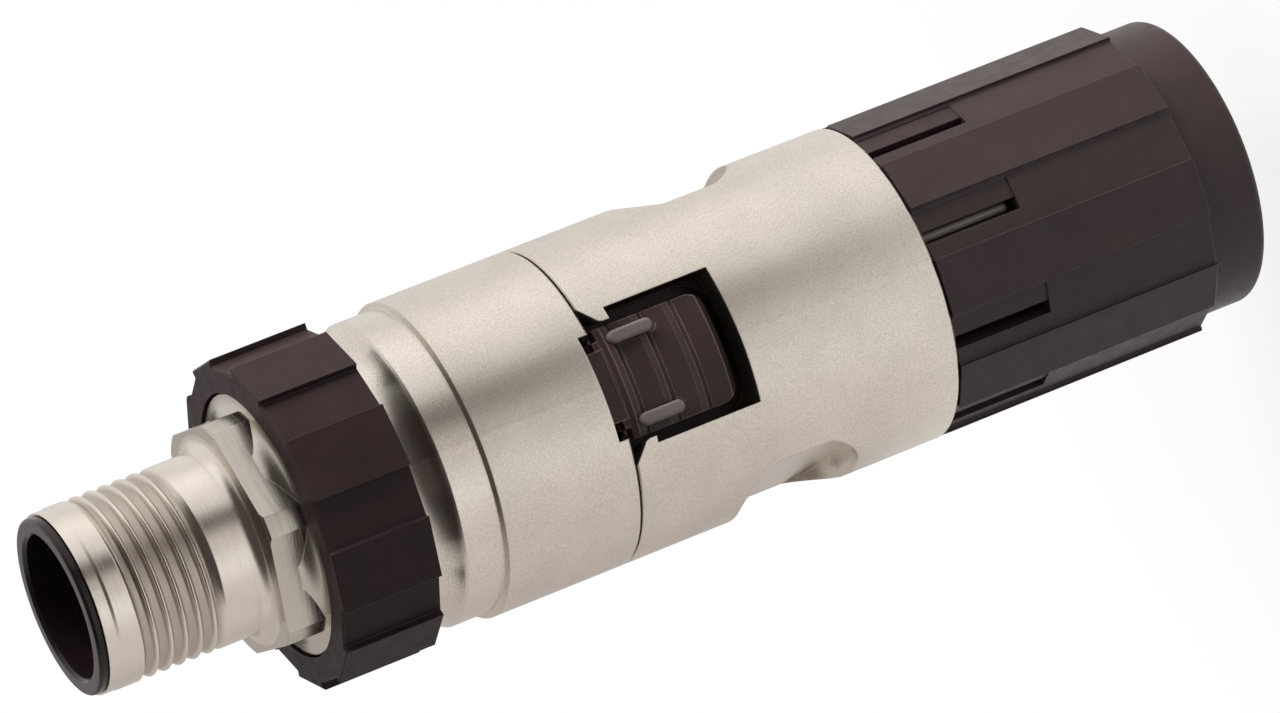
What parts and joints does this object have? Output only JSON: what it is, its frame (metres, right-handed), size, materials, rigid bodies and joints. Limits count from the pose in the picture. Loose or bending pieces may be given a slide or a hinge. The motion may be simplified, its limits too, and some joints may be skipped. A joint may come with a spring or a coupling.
{
  "type": "m12 connector",
  "caption": "Field-wired M12 round plug with a screw coupling, push latch, finger pockets and a slotted cap nut for the cable.",
  "frame": {"origin": "centre of the cap nut's rear rim, on the connector's axis", "axes": "+Z along the axis towards the mating end, +X towards the release latch"},
  "size_m": [0.0218, 0.0215, 0.081],
  "materials": {
    "housing_metal": "satin nickel plate, fine grain",
    "screw_metal": "turned, nickel plated",
    "contact_metal": "gold plated",
    "pin_steel": "ground",
    "ring_steel": "spring steel",
    "wire_steel": "bright drawn",
    "screen_metal": "tinned",
    "grip_plastic": "fine texture",
    "nut_plastic": "fine texture",
    "latch_plastic": "smooth matte",
    "inner_plastic": "smooth matte",
    "sleeve_plastic": "smooth matte",
    "insert_plastic": "gloss",
    "bar_plastic": "smooth",
    "block_plastic": "smooth",
    "cage_plastic": "smooth",
    "washer_plastic": "smooth",
    "seal_rubber": "soft",
    "oring_rubber": "soft"
  },
  "bodies": {
    "housing": {"contact_carrier": "insert_plastic", "contacts": "contact_metal", "carrier_seal": "oring_rubber", "retaining_ring": "ring_steel", "front_housing": "housing_metal", "inner_body": "inner_plastic", "latch_pin": "pin_steel", "wire_block": "block_plastic", "body_seal": "oring_rubber", "rear_housing": "housing_metal", "ratchet_wire": "wire_steel", "ratchet_sleeve": "sleeve_plastic", "screen_spring": "screen_metal", "clamping_cage": "cage_plastic", "cable_seal": "seal_rubber"},
    "coupling": {"coupling_screw": "screw_metal", "grip_ring": "grip_plastic"},
    "latch": {"latch": "latch_plastic", "latch_bars": "bar_plastic"},
    "thrust": {"thrust_washer": "washer_plastic"},
    "cap": {"cap_nut": "nut_plastic"}
  },
  "joints": [
    {"name": "coupling_turn", "type": "hinge", "parent": "housing", "child": "coupling", "pos_m": [0, 0, 0.0633], "axis": [0, 0, 1], "continuous": true},
    {"name": "latch_press", "type": "hinge", "parent": "housing", "child": "latch", "pos_m": [0.0074, 0, 0.04507], "axis": [0, 1, 0], "range_deg": [0, 6], "stiffness_Nm_per_rad": 0.1, "springref_deg": -5.73},
    {"name": "nut_slide", "type": "slide", "parent": "housing", "child": "thrust", "axis": [0, 0, -1], "range_m": [0, 0.006]},
    {"name": "nut_turn", "type": "hinge", "parent": "thrust", "child": "cap", "pos_m": [0, 0, 0.0135], "axis": [0, 0, -1], "range_deg": [0, 1440]}
  ],
  "couplings": [
    {"joint": "nut_slide", "follows": "nut_turn", "m_per_rad": 0.00023873}
  ]
}
